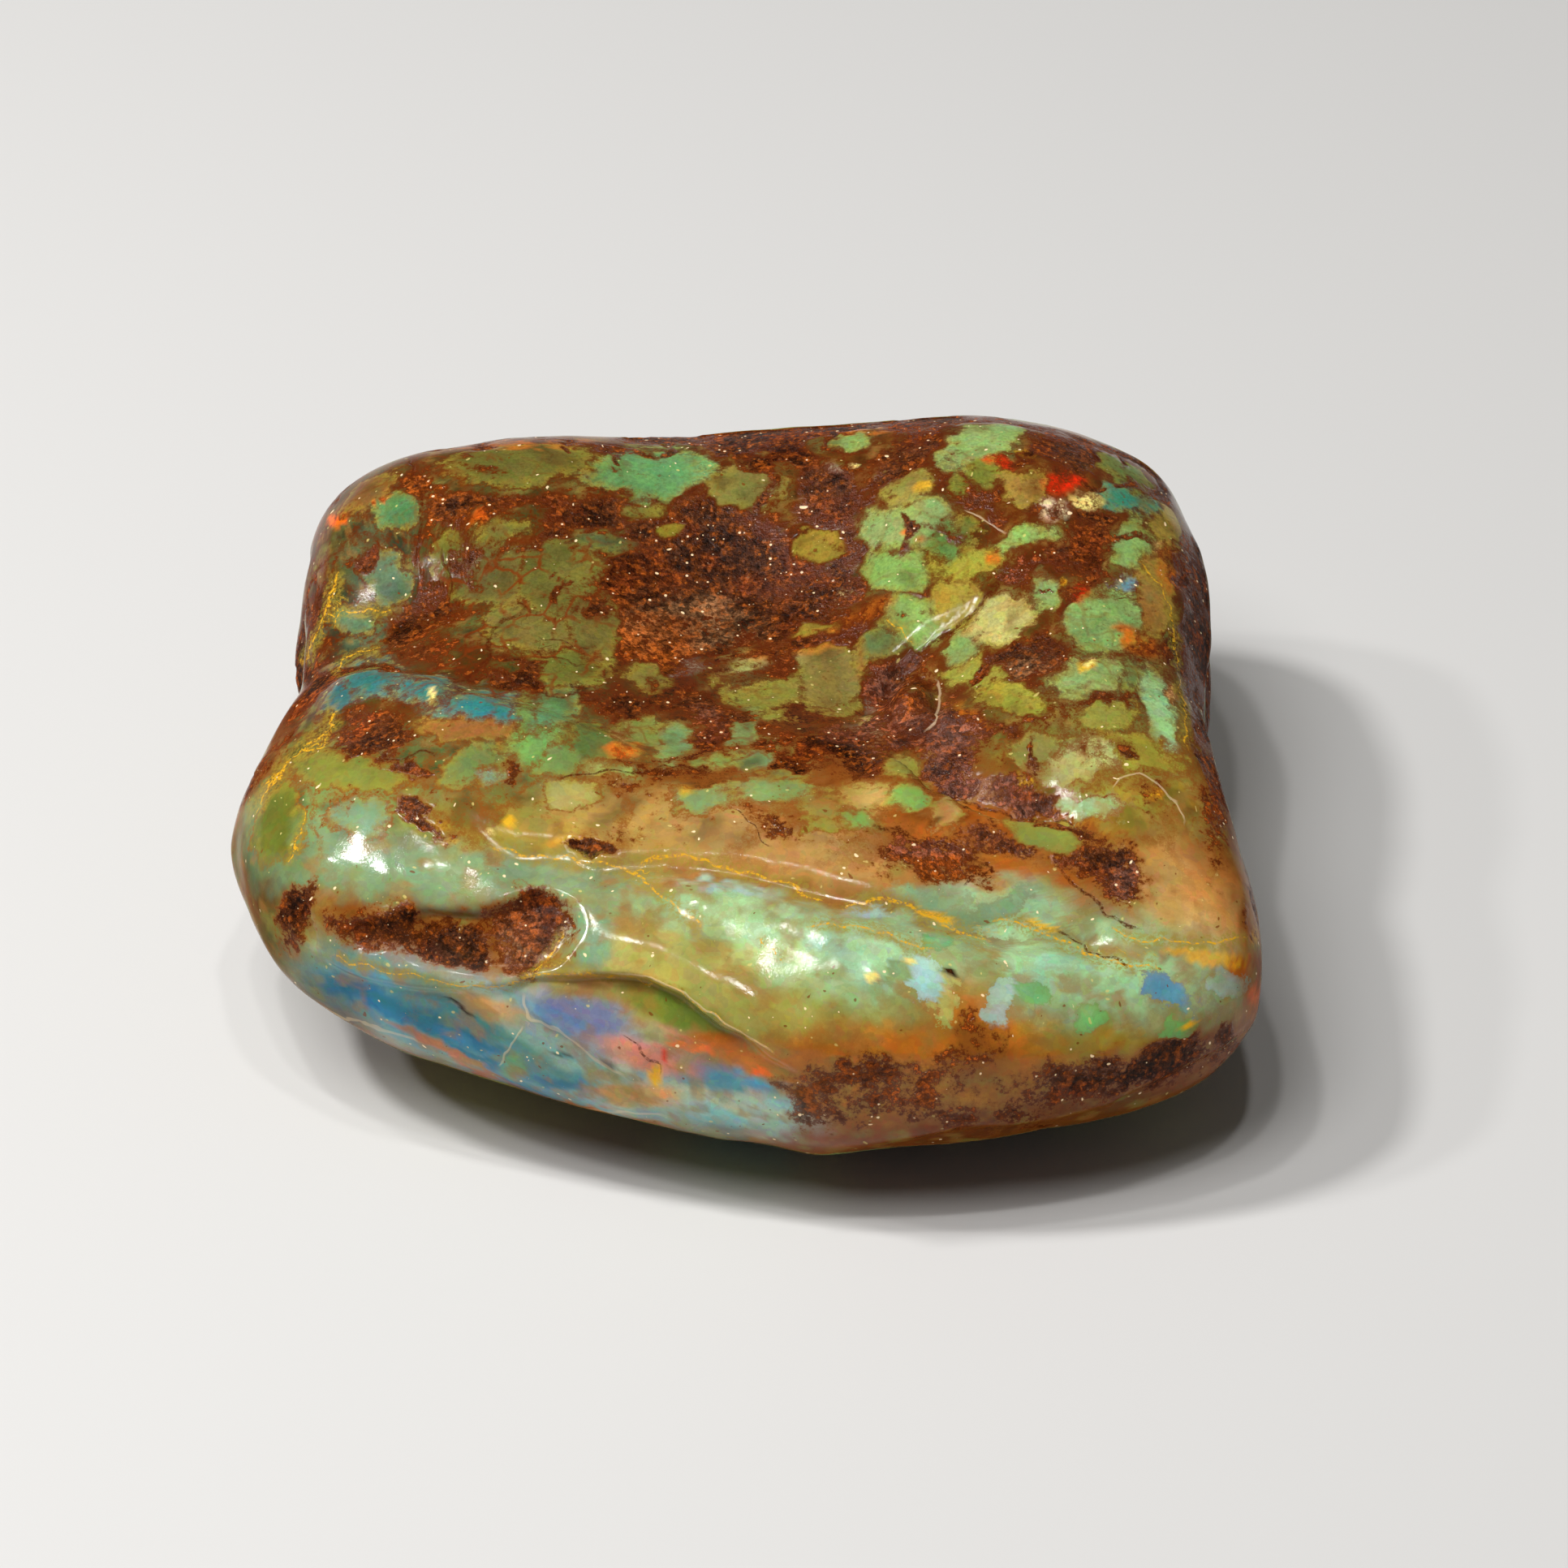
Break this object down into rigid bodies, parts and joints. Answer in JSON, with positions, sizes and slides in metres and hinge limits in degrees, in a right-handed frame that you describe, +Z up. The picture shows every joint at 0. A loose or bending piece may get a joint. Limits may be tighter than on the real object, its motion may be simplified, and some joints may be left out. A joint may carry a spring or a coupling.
{
  "type": "rough blue amber",
  "caption": "Polished tumbled pebble of mottled amber with a dished top, a chipped front and a small flat spot to rest on.",
  "frame": {"origin": "middle of the stone's footprint, on the plane of the flat spot it rests on", "axes": "+Z up; +X to the right as seen from the chipped front; +Y away from the front"},
  "size_m": [0.0416, 0.0384, 0.0155],
  "materials": {
    "mottled_amber": "polished, cloudy, mottled green, blue and gold with dark brown crust"
  },
  "bodies": {
    "root": {"amber_stone": "mottled_amber"}
  },
  "joints": []
}
